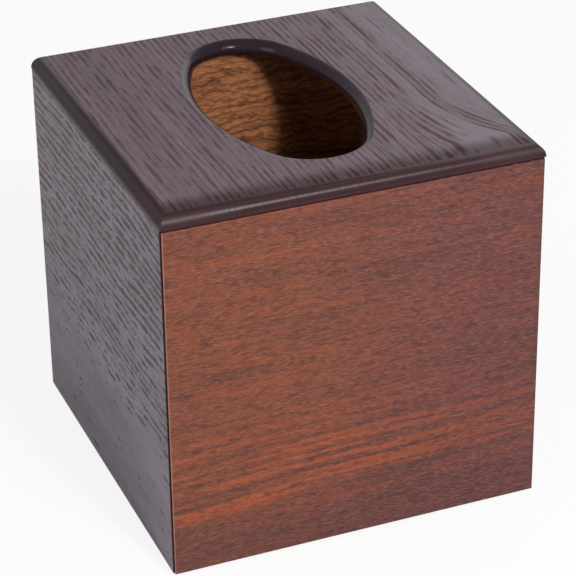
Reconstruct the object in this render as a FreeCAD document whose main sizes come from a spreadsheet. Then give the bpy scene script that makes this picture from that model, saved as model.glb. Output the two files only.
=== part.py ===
import FreeCAD, Part
import Sketcher
import math
import os
import re

# Tissue box cover with a drawer: a dark ash sleeve with an oval mouth, and a walnut drawer for the carton.
# Sizes are in millimetres. +Z is up, the drawer front faces -Y, and the origin is under the middle.

SIZES = [
    ("cover_width", 150.0, "whole cover, across the front"),
    ("cover_depth", 153.0, "whole cover, front to back"),
    ("cover_height", 151.0, "whole cover, from the feet to the top face"),
    ("top_thickness", 5.0, "top board"),
    ("top_round", 4.6, "rounding of the top board's four upper edges"),
    ("mouth_width", 56.4, "oval mouth, side to side"),
    ("mouth_length", 109.2, "oval mouth, front to back"),
    ("mouth_end_radius", 19.5, "radius of the oval's two ends"),
    ("mouth_setback", 3.0, "mouth centre behind the middle of the top"),
    ("mouth_round", 4.4, "rounding of the mouth's upper lip"),
    ("mouth_ease", 0.4, "bevel of the mouth's lower edge"),
    ("wall_thickness", 8.0, "side, back and drawer front boards"),
    ("arris_round", 0.3, "eased edges of the boards"),
    ("corner_bevel", 0.8, "bevel down the glued rear corners"),
    ("base_thickness", 4.0, "base board"),
    ("base_rise", 3.0, "base board above the lower edge of the walls"),
    ("base_tongue", 3.0, "base board held in the grooves of the walls"),
    ("groove_play", 0.1, "clearance of a board in its groove"),
    ("scoop_width", 44.0, "finger scoop in the front edge of the base"),
    ("scoop_depth", 13.0, "finger scoop, front to back"),
    ("scoop_round", 9.0, "rounded inner corners of the scoop"),
    ("tongue_thickness", 2.5, "plywood tongue in a rear mitre"),
    ("tongue_width", 7.0, "plywood tongue, across the mitre"),
    ("tongue_margin", 14.0, "wall left above and below a tongue"),
    ("tongue_inset", 5.0, "tongue centre from the outer faces"),
    ("top_dowel_diameter", 4.0, "dowels under the top board"),
    ("top_dowel_length", 15.0, "dowels under the top board"),
    ("top_dowel_rise", 3.0, "dowel let into the top board"),
    ("side_dowel_offset", 46.0, "side dowels, from the middle"),
    ("back_dowel_offset", 40.0, "back dowels, from the middle"),
    ("dowel_play", 0.05, "glue space round a dowel"),
    ("foot_diameter", 6.5, "felt foot pads"),
    ("foot_height", 1.0, "felt foot pads"),
    ("foot_inset", 14.0, "foot centre from the front and the back"),
    ("magnet_diameter", 8.0, "disc magnets"),
    ("magnet_thickness", 3.0, "disc magnets"),
    ("magnet_play", 0.05, "clearance round a magnet"),
    ("magnet_offset", 42.0, "magnets, from the middle"),
    ("magnet_level", 76.0, "magnets, above the ground"),
    ("front_reveal", 0.8, "gap between the drawer front and the top board"),
    ("mitre_gap", 0.7, "gap of the open mitre beside the drawer front, front to back"),
    ("base_gap", 0.5, "gap between the drawer front and the base"),
    ("drawer_wall", 6.0, "drawer side and back boards"),
    ("drawer_side_play", 0.5, "drawer box beside each cover side"),
    ("drawer_top_play", 1.6, "drawer box below the top board"),
    ("drawer_floor_play", 0.3, "drawer box above the base"),
    ("drawer_back_play", 0.8, "drawer box in front of the cover back"),
    ("drawer_lap", 3.0, "drawer back let into the drawer sides"),
    ("bottom_thickness", 3.0, "plywood drawer bottom"),
    ("bottom_rise", 2.5, "drawer bottom above the drawer sides' lower edge"),
    ("bottom_tongue", 2.5, "drawer bottom held in the grooves"),
    ("pin_diameter", 3.0, "dowels of the drawer"),
    ("pin_length", 14.0, "dowels of the drawer"),
    ("front_pin_depth", 5.0, "drawer dowel let into the drawer front"),
    ("pin_low", 26.0, "lower drawer dowel above the drawer floor"),
    ("pin_pitch", 84.0, "from the lower drawer dowel to the upper one"),
    ("rim_round", 1.0, "eased upper edges of the drawer box"),
]

# Places worked out from the sizes above, as expressions.
HALF_WIDTH = "(cover_width / 2)"
HALF_DEPTH = "(cover_depth / 2)"
INNER_HALF = "(cover_width / 2 - wall_thickness)"
INNER_BACK = "(cover_depth / 2 - wall_thickness)"
TOP_UNDERSIDE = "(cover_height - top_thickness)"
WALL_HEIGHT = f"({TOP_UNDERSIDE} - foot_height)"
FRONT_FACE = f"(-{HALF_DEPTH})"
FRONT_INSIDE = f"(wall_thickness - {HALF_DEPTH})"
DRAWER_FLOOR = "(foot_height + base_rise + base_thickness + drawer_floor_play)"
DRAWER_HEIGHT = f"({TOP_UNDERSIDE} - drawer_top_play - {DRAWER_FLOOR})"
DRAWER_HALF = f"({INNER_HALF} - drawer_side_play)"
DRAWER_INNER_HALF = f"({DRAWER_HALF} - drawer_wall)"
DRAWER_REAR = f"({INNER_BACK} - drawer_back_play)"
DRAWER_INNER_REAR = f"({DRAWER_REAR} - drawer_wall)"
DRAWER_WALL_MIDDLE = f"({DRAWER_HALF} - drawer_wall / 2)"

TOUCH = 1e-6
CLOSE = 1e-4

# How far a cutting outline runs past the board it cuts.
OVERRUN = "1"

doc = FreeCAD.newDocument("TissueBoxCover")
sheet = doc.addObject("Spreadsheet::Sheet", "Sizes")
for row, (name, size, meaning) in enumerate(SIZES, start=1):
    sheet.set(f"A{row}", meaning)
    sheet.set(f"B{row}", str(size))
    sheet.setAlias(f"B{row}", name)
doc.recompute()

NAMES = {name for name, size, meaning in SIZES}


# An expression with its size names bound to the sheet.
def bound(expression):
    return re.sub(r"[a-z_]+", lambda word: f"Sizes.{word[0]}" if word[0] in NAMES else word[0], expression)


# The present value of an expression.
def value(expression):
    return float(sheet.evalExpression(bound(expression)))


# Sketches

def new_body(label, level):
    body = doc.addObject("PartDesign::Body", label)
    body.Label = label
    body.setExpression("Placement.Base.z", bound(level))
    return body


def new_sketch(body, role, name, offset):
    plane = [feature for feature in body.Origin.OriginFeatures if feature.Role == role][0]
    sketch = body.newObject("Sketcher::SketchObject", name)
    sketch.AttachmentSupport = [(plane, "")]
    sketch.MapMode = "FlatFace"
    sketch.setExpression("AttachmentOffset.Base.z", bound(offset))
    return sketch


# A sketch seen from above, at a height in the body.
def plan_sketch(body, name, height="0"):
    return new_sketch(body, "XY_Plane", name, height)


# A sketch seen from the front, at a place along Y.
def front_sketch(body, name, place):
    return new_sketch(body, "XZ_Plane", name, f"-({place})")


# A sketch seen from the side, at a place along X.
def side_sketch(body, name, place):
    return new_sketch(body, "YZ_Plane", name, place)


# Ties one point of a sketch to a place across and up from the sketch's origin.
def pin_point(sketch, geometry, end, across, up):
    for kind, place, axis in (("DistanceX", across, -2), ("DistanceY", up, -1)):
        distance = value(place)
        if abs(distance) < TOUCH:
            sketch.addConstraint(Sketcher.Constraint("PointOnObject", geometry, end, axis))
        elif distance > 0:
            index = sketch.addConstraint(Sketcher.Constraint(kind, -1, 1, geometry, end, distance))
            sketch.setExpression(f"Constraints[{index}]", bound(place))
        else:
            index = sketch.addConstraint(Sketcher.Constraint(kind, geometry, end, -1, 1, -distance))
            sketch.setExpression(f"Constraints[{index}]", bound(f"-({place})"))


def draw_polygon(sketch, corners):
    points = [FreeCAD.Vector(value(across), value(up), 0) for across, up in corners]
    first = sketch.GeometryCount
    count = len(corners)
    for index in range(count):
        sketch.addGeometry(Part.LineSegment(points[index], points[(index + 1) % count]), False)
    for index in range(count):
        following = first + (index + 1) % count
        sketch.addConstraint(Sketcher.Constraint("Coincident", first + index, 2, following, 1))
    for index, (across, up) in enumerate(corners):
        pin_point(sketch, first + index, 1, across, up)


def draw_rectangle(sketch, left, right, low, high):
    draw_polygon(sketch, [(left, low), (right, low), (right, high), (left, high)])


def draw_circle(sketch, across, up, diameter):
    centre = FreeCAD.Vector(value(across), value(up), 0)
    circle = Part.Circle(centre, FreeCAD.Vector(0, 0, 1), value(diameter) / 2)
    geometry = sketch.addGeometry(circle, False)
    pin_point(sketch, geometry, 3, across, up)
    index = sketch.addConstraint(Sketcher.Constraint("Diameter", geometry, value(diameter)))
    sketch.setExpression(f"Constraints[{index}]", bound(diameter))


# The radius of an oval's long sides, from its width, its length and the radius of its ends.
def side_radius(width, length, end_radius):
    run = f"(({length}) / 2 - {end_radius})"
    half = f"(({width}) / 2)"
    return f"(({half}^2 + {run}^2 - {end_radius}^2) / (2 * ({half} - {end_radius})))"


# An upright oval of four tangent arcs: two ends and two long sides, centred across the sketch.
def draw_oval(sketch, up, width, length, end_radius):
    middle = value(up)
    small = value(end_radius)
    large = value(side_radius(width, length, end_radius))
    run = value(length) / 2 - small
    shift = large - value(width) / 2
    join = math.atan2(run, shift)
    layout = [
        (0, run, small, join, math.pi - join),
        (shift, 0, large, math.pi - join, math.pi + join),
        (0, -run, small, math.pi + join, 2 * math.pi - join),
        (-shift, 0, large, -join, join),
    ]
    for across, rise, radius, start, stop in layout:
        circle = Part.Circle(FreeCAD.Vector(across, middle + rise, 0), FreeCAD.Vector(0, 0, 1), radius)
        sketch.addGeometry(Part.ArcOfCircle(circle, start, stop), False)
    pin_point(sketch, 0, 3, "0", f"{up} + ({length}) / 2 - {end_radius}")
    pin_point(sketch, 2, 3, "0", f"{up} - ({length}) / 2 + {end_radius}")
    for arc in range(4):
        sketch.addConstraint(Sketcher.Constraint("Tangent", arc, 2, (arc + 1) % 4, 1))
    for arc, radius in enumerate([end_radius, side_radius(width, length, end_radius)] * 2):
        index = sketch.addConstraint(Sketcher.Constraint("Radius", arc, value(radius)))
        sketch.setExpression(f"Constraints[{index}]", bound(radius))


# Features

def pad(body, sketch, length, backwards=False):
    feature = body.newObject("PartDesign::Pad", f"{sketch.Name}_pad")
    feature.Profile = sketch
    feature.setExpression("Length", bound(length))
    feature.Reversed = backwards
    doc.recompute()
    return feature


# Cuts away from the sketch's normal, or along it where backwards is set, and refuses a cut of nothing.
def cut(body, sketch, depth, backwards=False):
    before = body.Tip.Shape.Volume
    feature = body.newObject("PartDesign::Pocket", f"{sketch.Name}_cut")
    feature.Profile = sketch
    feature.setExpression("Length", bound(depth))
    feature.Reversed = backwards
    doc.recompute()
    if not feature.Shape.Volume < before - TOUCH:
        raise ValueError(f"{feature.Name} removes nothing")
    return feature


def edges_where(body, test):
    edges = enumerate(body.Tip.Shape.Edges, start=1)
    return [f"Edge{number}" for number, edge in edges if test(edge.BoundBox)]


def round_edges(body, name, test, radius):
    names = edges_where(body, test)
    base = body.Tip
    feature = body.newObject("PartDesign::Fillet", name)
    feature.Base = (base, names)
    feature.setExpression("Radius", bound(radius))
    doc.recompute()
    return feature


def bevel_edges(body, name, test, size):
    names = edges_where(body, test)
    base = body.Tip
    feature = body.newObject("PartDesign::Chamfer", name)
    feature.Base = (base, names)
    feature.setExpression("Size", bound(size))
    doc.recompute()
    return feature


def near(first, second):
    return abs(first - second) < CLOSE


# True for an edge that lies flat at a height.
def level_at(box, height):
    return near(box.ZMin, height) and near(box.ZMax, height)


# Groups of equal loose pieces, one compound each

UP = FreeCAD.Vector(0, 0, 1)
FORWARD = FreeCAD.Vector(0, -1, 0)
RIGHT = FreeCAD.Vector(1, 0, 0)
LEFT = FreeCAD.Vector(-1, 0, 0)


def new_rod(name, diameter, length, place, direction):
    rod = doc.addObject("Part::Cylinder", name)
    rod.setExpression("Radius", bound(f"({diameter}) / 2"))
    rod.setExpression("Height", bound(length))
    turn = FreeCAD.Rotation(UP, direction)
    rod.Placement = FreeCAD.Placement(FreeCAD.Vector(0, 0, 0), turn)
    for axis, expression in zip("xyz", place):
        rod.setExpression(f"Placement.Base.{axis}", bound(expression))
    return rod


def new_group(label, diameter, length, places, direction):
    rods = [new_rod(f"{label}_{number}", diameter, length, place, way)
            for number, (place, way) in enumerate(zip(places, direction), start=1)]
    group = doc.addObject("Part::Compound", label)
    group.Label = label
    group.Links = rods
    return group


# Dowel places under the top board: two along each side and two along the back.
SIDE_DOWEL_X = f"({HALF_WIDTH} - wall_thickness / 2)"
SIDE_DOWEL_PLACES = ["-side_dowel_offset", "side_dowel_offset"]
BACK_DOWEL_Y = f"({HALF_DEPTH} - wall_thickness / 2)"
BACK_DOWEL_PLACES = ["-back_dowel_offset", "back_dowel_offset"]
TOP_DOWELS = ([(f"-{SIDE_DOWEL_X}", place) for place in SIDE_DOWEL_PLACES]
              + [(SIDE_DOWEL_X, place) for place in SIDE_DOWEL_PLACES]
              + [(place, BACK_DOWEL_Y) for place in BACK_DOWEL_PLACES])
DOWEL_HOLE = "(top_dowel_diameter + 2 * dowel_play)"
DOWEL_HOLE_DEPTH = "(top_dowel_length - top_dowel_rise)"

# Heights of the drawer's dowels above the drawer floor.
PIN_LEVELS = ["pin_low", "(pin_low + pin_pitch)"]
PIN_HOLE = "(pin_diameter + 2 * dowel_play)"
MAGNET_HOLE = "(magnet_diameter + 2 * magnet_play)"
MAGNET_PLACES = ["-magnet_offset", "magnet_offset"]


# The top board: full rounds on its upper edges, and the oval mouth.
def make_top_panel():
    body = new_body("top_panel", TOP_UNDERSIDE)
    outline = plan_sketch(body, "top_outline")
    draw_rectangle(outline, f"-{HALF_WIDTH}", HALF_WIDTH, f"-{HALF_DEPTH}", HALF_DEPTH)
    pad(body, outline, "top_thickness")
    mouth = plan_sketch(body, "top_mouth", "top_thickness")
    draw_oval(mouth, "mouth_setback", "mouth_width", "mouth_length", "mouth_end_radius")
    cut(body, mouth, "2 * top_thickness")
    holes = plan_sketch(body, "top_dowel_holes")
    for across, up in TOP_DOWELS:
        draw_circle(holes, across, up, DOWEL_HOLE)
    cut(body, holes, "top_dowel_rise", backwards=True)
    half_width = value(HALF_WIDTH)
    half_depth = value(HALF_DEPTH)
    half_mouth = value(f"mouth_width / 2 + {OVERRUN}")
    hole = value(f"{DOWEL_HOLE} + {OVERRUN}")
    upper = value("top_thickness")

    def on_outline(box):
        return near(max(-box.XMin, box.XMax), half_width) or near(max(-box.YMin, box.YMax), half_depth)

    def on_mouth(box):
        return max(-box.XMin, box.XMax) < half_mouth and box.YLength > hole

    round_edges(body, "top_edges_round", lambda box: level_at(box, upper) and on_outline(box), "top_round")
    round_edges(body, "top_mouth_round", lambda box: level_at(box, upper) and on_mouth(box), "mouth_round")
    bevel_edges(body, "top_mouth_ease", lambda box: level_at(box, 0) and on_mouth(box), "mouth_ease")
    return body


# The corners of a rear tongue or its slot: it lies square across the glued mitre.
def tongue_corners(side, width, thickness):
    reach = f"({width}) / 2 / sqrt(2)"
    half = f"({thickness}) / 2 / sqrt(2)"
    corners = []
    for wide, thick in ((1, 1), (1, -1), (-1, -1), (-1, 1)):
        across = f"{side} * ({HALF_WIDTH} - tongue_inset + {wide} * {reach} + {thick} * {half})"
        up = f"({HALF_DEPTH} - tongue_inset - {wide} * {reach} + {thick} * {half})"
        corners.append((across, up))
    return corners


SLOT_WIDTH = "(tongue_width + 2 * groove_play)"
SLOT_THICKNESS = "(tongue_thickness + 2 * groove_play)"


# Slots for the rear tongues, closed at both ends.
def cut_tongue_slots(body, sides):
    slots = plan_sketch(body, f"{body.Name}_slots", "tongue_margin - groove_play")
    for side in sides:
        draw_polygon(slots, tongue_corners(side, SLOT_WIDTH, SLOT_THICKNESS))
    cut(body, slots, f"{WALL_HEIGHT} - 2 * tongue_margin + 2 * groove_play", backwards=True)


def make_corner_tongue(label, side):
    body = new_body(label, "foot_height + tongue_margin")
    outline = plan_sketch(body, f"{label}_outline")
    draw_polygon(outline, tongue_corners(side, "tongue_width", "tongue_thickness"))
    pad(body, outline, f"{WALL_HEIGHT} - 2 * tongue_margin")
    return body


BASE_GROOVE = "(base_thickness + 2 * groove_play)"
BASE_FRONT = f"({FRONT_INSIDE} + base_gap)"


# One side of the sleeve: an open mitre at the front, a glued one at the back. Side is -1 or 1.
def make_side_panel(label, side):
    body = new_body(label, "foot_height")
    outline = plan_sketch(body, f"{label}_outline")
    draw_polygon(outline, [
        (f"{side} * {HALF_WIDTH}", f"{FRONT_FACE} + mitre_gap"),
        (f"{side} * {INNER_HALF}", f"{FRONT_INSIDE} + mitre_gap"),
        (f"{side} * {INNER_HALF}", INNER_BACK),
        (f"{side} * ({HALF_WIDTH} - corner_bevel / 2)", f"{HALF_DEPTH} - corner_bevel / 2"),
        (f"{side} * {HALF_WIDTH}", f"{HALF_DEPTH} - corner_bevel"),
    ])
    pad(body, outline, WALL_HEIGHT)
    groove = plan_sketch(body, f"{label}_groove", "base_rise - groove_play")
    draw_rectangle(groove, f"{side} * ({INNER_HALF} + base_tongue + groove_play)",
                   f"{side} * ({INNER_HALF} - {OVERRUN})", f"{BASE_FRONT} - groove_play", HALF_DEPTH)
    cut(body, groove, BASE_GROOVE, backwards=True)
    holes = plan_sketch(body, f"{label}_dowel_holes", WALL_HEIGHT)
    for place in SIDE_DOWEL_PLACES:
        draw_circle(holes, f"{side} * {SIDE_DOWEL_X}", place, DOWEL_HOLE)
    cut(body, holes, DOWEL_HOLE_DEPTH)
    cut_tongue_slots(body, [side])
    outer = side * value(HALF_WIDTH)
    front = value(f"{FRONT_FACE} + mitre_gap")
    round_edges(body, f"{label}_arris",
                lambda box: near(box.XMin, outer) and near(box.XMax, outer)
                and (near(box.YMax, front) or level_at(box, 0)), "arris_round")
    return body


def make_back_panel():
    body = new_body("back_panel", "foot_height")
    outline = plan_sketch(body, "back_outline")
    draw_polygon(outline, [
        (f"-{INNER_HALF}", INNER_BACK),
        (INNER_HALF, INNER_BACK),
        (f"{HALF_WIDTH} - corner_bevel / 2", f"{HALF_DEPTH} - corner_bevel / 2"),
        (f"{HALF_WIDTH} - corner_bevel", HALF_DEPTH),
        (f"corner_bevel - {HALF_WIDTH}", HALF_DEPTH),
        (f"corner_bevel / 2 - {HALF_WIDTH}", f"{HALF_DEPTH} - corner_bevel / 2"),
    ])
    pad(body, outline, WALL_HEIGHT)
    groove = plan_sketch(body, "back_groove", "base_rise - groove_play")
    draw_rectangle(groove, f"-{HALF_WIDTH}", HALF_WIDTH, f"{INNER_BACK} - {OVERRUN}",
                   f"{INNER_BACK} + base_tongue + groove_play")
    cut(body, groove, BASE_GROOVE, backwards=True)
    holes = plan_sketch(body, "back_dowel_holes", WALL_HEIGHT)
    for place in BACK_DOWEL_PLACES:
        draw_circle(holes, place, BACK_DOWEL_Y, DOWEL_HOLE)
    cut(body, holes, DOWEL_HOLE_DEPTH)
    cut_tongue_slots(body, [-1, 1])
    seats = front_sketch(body, "back_magnet_seats", INNER_BACK)
    for place in MAGNET_PLACES:
        draw_circle(seats, place, "magnet_level - foot_height", MAGNET_HOLE)
    cut(body, seats, "magnet_thickness + magnet_play")
    outer = value(HALF_DEPTH)
    round_edges(body, "back_arris",
                lambda box: near(box.YMin, outer) and near(box.YMax, outer) and level_at(box, 0),
                "arris_round")
    return body


# The base board sits in the grooves. Fingertips reach up through its scoop behind the drawer front.
def make_base_panel():
    body = new_body("base_panel", "foot_height + base_rise")
    outline = plan_sketch(body, "base_outline")
    draw_rectangle(outline, f"-({INNER_HALF} + base_tongue)", f"{INNER_HALF} + base_tongue",
                   BASE_FRONT, f"{INNER_BACK} + base_tongue")
    pad(body, outline, "base_thickness")
    scoop = plan_sketch(body, "base_scoop", "base_thickness")
    draw_rectangle(scoop, "-scoop_width / 2", "scoop_width / 2",
                   f"{BASE_FRONT} - {OVERRUN}", f"{BASE_FRONT} + scoop_depth")
    cut(body, scoop, "2 * base_thickness")
    rear = value(f"{BASE_FRONT} + scoop_depth")
    height = value("base_thickness")
    round_edges(body, "base_scoop_corners",
                lambda box: near(box.YMin, rear) and near(box.YMax, rear) and near(box.ZLength, height),
                "scoop_round")
    return body


# The drawer front fills the open mitres. The cover sides stand back from it by the mitre gap.
def make_drawer_front():
    body = new_body("drawer_front", "foot_height")
    outline = plan_sketch(body, "front_outline")
    draw_polygon(outline, [
        (f"-{HALF_WIDTH}", FRONT_FACE),
        (HALF_WIDTH, FRONT_FACE),
        (INNER_HALF, FRONT_INSIDE),
        (f"-{INNER_HALF}", FRONT_INSIDE),
    ])
    pad(body, outline, f"{WALL_HEIGHT} - front_reveal")
    groove = plan_sketch(body, "front_groove", f"{DRAWER_FLOOR} - foot_height + bottom_rise - groove_play")
    reach = f"({DRAWER_INNER_HALF} + bottom_tongue + groove_play)"
    draw_rectangle(groove, f"-{reach}", reach,
                   f"{FRONT_INSIDE} - bottom_tongue - groove_play", f"{FRONT_INSIDE} + {OVERRUN}")
    cut(body, groove, "bottom_thickness + 2 * groove_play", backwards=True)
    holes = front_sketch(body, "front_pin_holes", FRONT_INSIDE)
    for level in PIN_LEVELS:
        for side in (-1, 1):
            place = f"{side} * {DRAWER_WALL_MIDDLE}"
            draw_circle(holes, place, f"{DRAWER_FLOOR} - foot_height + {level}", PIN_HOLE)
    cut(body, holes, "front_pin_depth", backwards=True)
    front = value(FRONT_FACE)
    round_edges(body, "front_arris",
                lambda box: near(box.YMin, front) and near(box.YMax, front), "arris_round")
    return body


# One side of the drawer box: lapped over the drawer back, grooved for the bottom. Side is -1 or 1.
def make_drawer_side(label, side):
    body = new_body(label, DRAWER_FLOOR)
    outline = plan_sketch(body, f"{label}_outline")
    draw_polygon(outline, [
        (f"{side} * {DRAWER_HALF}", FRONT_INSIDE),
        (f"{side} * {DRAWER_INNER_HALF}", FRONT_INSIDE),
        (f"{side} * {DRAWER_INNER_HALF}", DRAWER_INNER_REAR),
        (f"{side} * ({DRAWER_HALF} - drawer_wall + drawer_lap)", DRAWER_INNER_REAR),
        (f"{side} * ({DRAWER_HALF} - drawer_wall + drawer_lap)", DRAWER_REAR),
        (f"{side} * {DRAWER_HALF}", DRAWER_REAR),
    ])
    pad(body, outline, DRAWER_HEIGHT)
    groove = plan_sketch(body, f"{label}_groove", "bottom_rise - groove_play")
    draw_rectangle(groove, f"{side} * ({DRAWER_INNER_HALF} + bottom_tongue + groove_play)",
                   f"{side} * ({DRAWER_INNER_HALF} - {OVERRUN})",
                   f"{FRONT_INSIDE} - {OVERRUN}", f"{DRAWER_REAR} + {OVERRUN}")
    cut(body, groove, "bottom_thickness + 2 * groove_play", backwards=True)
    front_holes = front_sketch(body, f"{label}_front_holes", FRONT_INSIDE)
    for level in PIN_LEVELS:
        draw_circle(front_holes, f"{side} * {DRAWER_WALL_MIDDLE}", level, PIN_HOLE)
    cut(body, front_holes, "pin_length - front_pin_depth")
    back_holes = side_sketch(body, f"{label}_back_holes", f"{side} * {DRAWER_HALF}")
    for level in PIN_LEVELS:
        draw_circle(back_holes, f"{DRAWER_REAR} - drawer_wall / 2", level, PIN_HOLE)
    cut(body, back_holes, "drawer_wall", backwards=side < 0)
    top = value(DRAWER_HEIGHT)
    run = value(f"({DRAWER_INNER_REAR} - {FRONT_INSIDE}) / 2")
    round_edges(body, f"{label}_rim", lambda box: level_at(box, top) and box.YLength > run, "rim_round")
    return body


def make_drawer_back():
    body = new_body("drawer_back", DRAWER_FLOOR)
    half = f"({DRAWER_HALF} - drawer_wall + drawer_lap)"
    outline = plan_sketch(body, "drawer_back_outline")
    draw_rectangle(outline, f"-{half}", half, DRAWER_INNER_REAR, DRAWER_REAR)
    pad(body, outline, DRAWER_HEIGHT)
    groove = plan_sketch(body, "drawer_back_groove", "bottom_rise - groove_play")
    reach = f"({DRAWER_INNER_HALF} + bottom_tongue + groove_play)"
    draw_rectangle(groove, f"-{reach}", reach, f"{DRAWER_INNER_REAR} - {OVERRUN}",
                   f"{DRAWER_INNER_REAR} + bottom_tongue + groove_play")
    cut(body, groove, "bottom_thickness + 2 * groove_play", backwards=True)
    for side in (-1, 1):
        holes = side_sketch(body, f"drawer_back_holes_{'left' if side < 0 else 'right'}", f"{side} * {half}")
        for level in PIN_LEVELS:
            draw_circle(holes, f"{DRAWER_REAR} - drawer_wall / 2", level, PIN_HOLE)
        cut(body, holes, "pin_length - drawer_lap", backwards=side < 0)
    seats = front_sketch(body, "drawer_magnet_seats", DRAWER_REAR)
    for place in MAGNET_PLACES:
        draw_circle(seats, place, f"magnet_level - {DRAWER_FLOOR}", MAGNET_HOLE)
    cut(body, seats, "magnet_thickness + magnet_play", backwards=True)
    top = value(DRAWER_HEIGHT)
    run = value(half)
    round_edges(body, "drawer_back_rim", lambda box: level_at(box, top) and box.XLength > run, "rim_round")
    return body


def make_drawer_bottom():
    body = new_body("drawer_bottom", f"{DRAWER_FLOOR} + bottom_rise")
    half = f"({DRAWER_INNER_HALF} + bottom_tongue)"
    outline = plan_sketch(body, "drawer_bottom_outline")
    draw_rectangle(outline, f"-{half}", half, f"{FRONT_INSIDE} - bottom_tongue",
                   f"{DRAWER_INNER_REAR} + bottom_tongue")
    pad(body, outline, "bottom_thickness")
    return body


def make_top_dowels():
    low = f"({TOP_UNDERSIDE} + top_dowel_rise - top_dowel_length)"
    places = [(across, up, low) for across, up in TOP_DOWELS]
    return new_group("top_panel_dowels", "top_dowel_diameter", "top_dowel_length", places, [UP] * len(places))


def make_foot_pads():
    reach = f"({HALF_DEPTH} - foot_inset)"
    places = [(f"{side} * {SIDE_DOWEL_X}", f"{end} * {reach}", "0") for side in (-1, 1) for end in (-1, 1)]
    return new_group("foot_pads", "foot_diameter", "foot_height", places, [UP] * len(places))


def make_magnets(label, rear_face):
    places = [(across, rear_face, "magnet_level") for across in MAGNET_PLACES]
    return new_group(label, "magnet_diameter", "magnet_thickness", places, [FORWARD] * len(places))


def make_drawer_front_dowels():
    start = f"({FRONT_INSIDE} - front_pin_depth + pin_length)"
    places = [(f"{side} * {DRAWER_WALL_MIDDLE}", start, f"{DRAWER_FLOOR} + {level}")
              for side in (-1, 1) for level in PIN_LEVELS]
    return new_group("drawer_front_dowels", "pin_diameter", "pin_length", places, [FORWARD] * len(places))


def make_drawer_back_dowels():
    middle = f"({DRAWER_REAR} - drawer_wall / 2)"
    places = [(f"{side} * {DRAWER_HALF}", middle, f"{DRAWER_FLOOR} + {level}")
              for side in (-1, 1) for level in PIN_LEVELS]
    ways = [RIGHT] * len(PIN_LEVELS) + [LEFT] * len(PIN_LEVELS)
    return new_group("drawer_back_dowels", "pin_diameter", "pin_length", places, ways)


# The whole assembly

parts = [
    make_top_panel(),
    make_side_panel("left_side_panel", -1),
    make_side_panel("right_side_panel", 1),
    make_back_panel(),
    make_base_panel(),
    make_corner_tongue("left_corner_tongue", -1),
    make_corner_tongue("right_corner_tongue", 1),
    make_top_dowels(),
    make_magnets("cover_magnets", f"{INNER_BACK} + magnet_thickness"),
    make_foot_pads(),
    make_drawer_front(),
    make_drawer_side("drawer_left_side", -1),
    make_drawer_side("drawer_right_side", 1),
    make_drawer_back(),
    make_drawer_bottom(),
    make_drawer_front_dowels(),
    make_drawer_back_dowels(),
    make_magnets("drawer_magnets", DRAWER_REAR),
]
doc.recompute()

for thing in doc.Objects:
    if "Invalid" in thing.State or "Error" in thing.State:
        raise ValueError(f"{thing.Name} did not build")
for part in parts:
    if part.Shape.isNull() or not part.Shape.isValid():
        raise ValueError(f"{part.Label} has no valid shape")

os.makedirs("parts", exist_ok=True)
for part in parts:
    part.Shape.exportStep(f"parts/{part.Label}.step")
    print(part.Label, len(part.Shape.Solids), round(part.Shape.Volume))
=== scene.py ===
import math

import bpy
import bmesh
from mathutils import Matrix, Vector


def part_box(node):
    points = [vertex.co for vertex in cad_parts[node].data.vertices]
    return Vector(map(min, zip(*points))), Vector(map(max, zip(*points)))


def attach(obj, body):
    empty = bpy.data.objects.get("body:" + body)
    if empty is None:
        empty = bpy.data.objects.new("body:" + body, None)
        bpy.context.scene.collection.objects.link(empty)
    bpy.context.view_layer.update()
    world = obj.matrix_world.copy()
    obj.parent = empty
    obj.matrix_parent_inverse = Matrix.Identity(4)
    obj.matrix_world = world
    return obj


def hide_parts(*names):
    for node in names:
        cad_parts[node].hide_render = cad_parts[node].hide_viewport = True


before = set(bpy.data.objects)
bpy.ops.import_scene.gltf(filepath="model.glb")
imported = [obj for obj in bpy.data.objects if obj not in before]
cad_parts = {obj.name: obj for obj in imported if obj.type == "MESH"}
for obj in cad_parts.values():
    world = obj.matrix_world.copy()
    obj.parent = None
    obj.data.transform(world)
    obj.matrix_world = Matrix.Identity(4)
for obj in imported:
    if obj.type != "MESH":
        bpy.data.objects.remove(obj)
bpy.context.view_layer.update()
bpy.ops.object.select_all(action="DESELECT")
scene = bpy.context.scene
mm = 0.001


# Camera, solved from the box's edges in the photo. Metres and degrees, with the lens in millimetres.

camera = {
    "place": (-0.31793, -0.80844, 0.54866),
    "lookAzimuth": 21.64,
    "lookDown": 28.922,
    "roll": 0.838,
    "lens": 156.54,
    "sensor": 36.0,
    "clipStart": 0.01,
}


def makeCamera():
    azimuth = math.radians(camera["lookAzimuth"])
    down = math.radians(camera["lookDown"])
    level = math.cos(down)
    forward = Vector((math.sin(azimuth) * level, math.cos(azimuth) * level, -math.sin(down)))
    bpy.ops.object.camera_add(location=camera["place"])
    eye = bpy.context.object
    eye.name = "photoCamera"
    upright = forward.to_track_quat("-Z", "Y").to_matrix().to_4x4()
    turned = upright @ Matrix.Rotation(math.radians(-camera["roll"]), 4, "Z")
    eye.matrix_world = Matrix.Translation(camera["place"]) @ turned
    eye.data.lens = camera["lens"]
    eye.data.sensor_width = camera["sensor"]
    eye.data.clip_start = camera["clipStart"]
    scene.camera = eye


makeCamera()
print("camera set")


# Colour and nodes

smoothly = {"interpolation_type": "SMOOTHSTEP"}
inColour = {"data_type": "RGBA"}


def srgb(code):
    parts = [int(code[place:place + 2], 16) / 255 for place in (1, 3, 5)]
    linear = [part / 12.92 if part <= 0.04045 else ((part + 0.055) / 1.055) ** 2.4 for part in parts]
    return (*linear, 1.0)


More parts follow.
